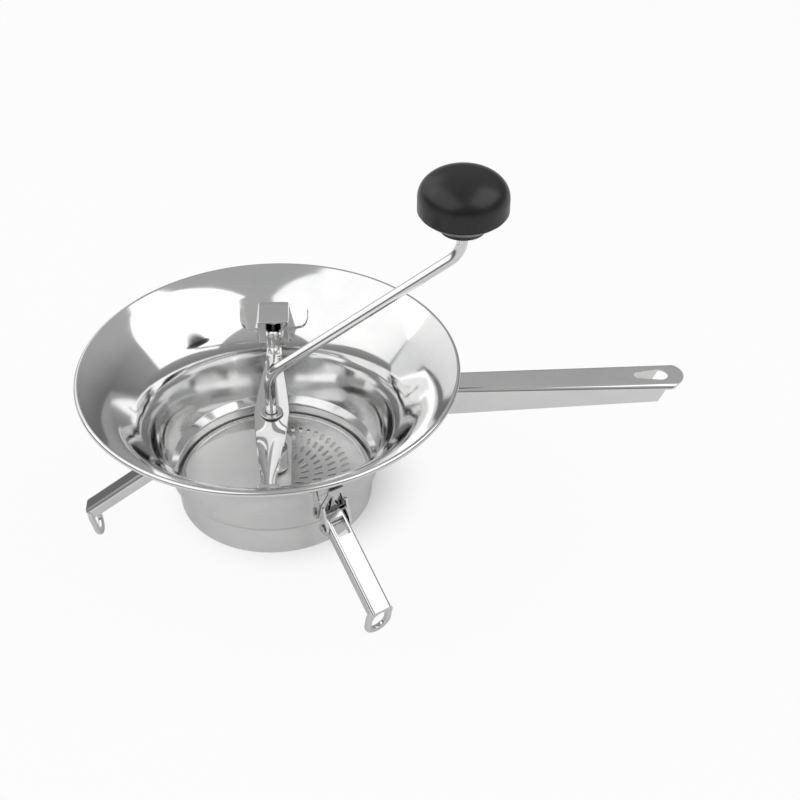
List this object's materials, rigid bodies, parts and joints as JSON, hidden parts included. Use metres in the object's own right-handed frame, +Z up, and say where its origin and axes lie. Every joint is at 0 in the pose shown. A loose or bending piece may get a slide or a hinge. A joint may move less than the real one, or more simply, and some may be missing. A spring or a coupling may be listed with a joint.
{
  "type": "food mill",
  "caption": "Hand-cranked food mill: flared steel bowl on folding tripod legs, with perforated disc, sprung half-moon blade on a bent crank, round knob and channel handle",
  "frame": {"origin": "centre of the bounding box's foot, on the plane that the three feet stand on", "axes": "+X along the handle, away from the bowl; +Z up, along the crank's axis"},
  "size_m": [0.3576, 0.2198, 0.2434],
  "materials": {
    "steel": "mirror-polished stainless steel",
    "dull_steel": "satin stainless steel",
    "spring": "drawn steel wire",
    "knob": "satin black moulding"
  },
  "bodies": {
    "mill": {"bowl": "steel", "handle": "steel", "bar_catch": "steel", "bar_keeper": "steel", "cross_bar": "steel", "bar_bush": "dull_steel", "perforated_disc": "dull_steel", "disc_eyelet": "dull_steel", "pressure_spring": "spring", "leg_bracket_front": "dull_steel", "hinge_pin_front": "dull_steel", "leg_bracket_back": "dull_steel", "hinge_pin_back": "dull_steel", "leg_bracket_left": "dull_steel", "hinge_pin_left": "dull_steel"},
    "spring_carrier": {"spring_seat": "dull_steel"},
    "crank": {"crank_rod": "steel", "knob_clip": "spring", "pressing_blade": "steel", "blade_hub": "dull_steel", "hub_pin": "spring"},
    "knob": {"knob_base": "knob", "knob_cap": "knob"},
    "leg_front": {"leg_front": "steel"},
    "leg_back": {"leg_back": "steel"},
    "leg_left": {"leg_left": "steel"}
  },
  "joints": [
    {"name": "crank_lift", "type": "slide", "parent": "mill", "child": "spring_carrier", "axis": [0, 0, 1], "range_m": [0, 0.003], "stiffness_N_per_m": 1200, "springref_m": -0.01, "deforming": ["pressure_spring"]},
    {"name": "crank_spin", "type": "hinge", "parent": "spring_carrier", "child": "crank", "pos_m": [-0.06224, 0, 0.06926], "axis": [0, 0, 1], "continuous": true},
    {"name": "knob_spin", "type": "hinge", "parent": "crank", "child": "knob", "pos_m": [0.04686, 0, 0.21926], "axis": [0, 0, 1], "continuous": true},
    {"name": "leg_fold_front", "type": "hinge", "parent": "mill", "child": "leg_front", "pos_m": [-0.0264, -0.05826, 0.05126], "axis": [0.8517, 0.524, 0], "range_deg": [0, 68]},
    {"name": "leg_fold_back", "type": "hinge", "parent": "mill", "child": "leg_back", "pos_m": [-0.02971, 0.06017, 0.05126], "axis": [-0.8796, 0.4756, 0], "range_deg": [0, 68]},
    {"name": "leg_fold_left", "type": "hinge", "parent": "mill", "child": "leg_left", "pos_m": [-0.13061, -0.00191, 0.05126], "axis": [0.0279, -0.9996, 0], "range_deg": [0, 68]}
  ]
}
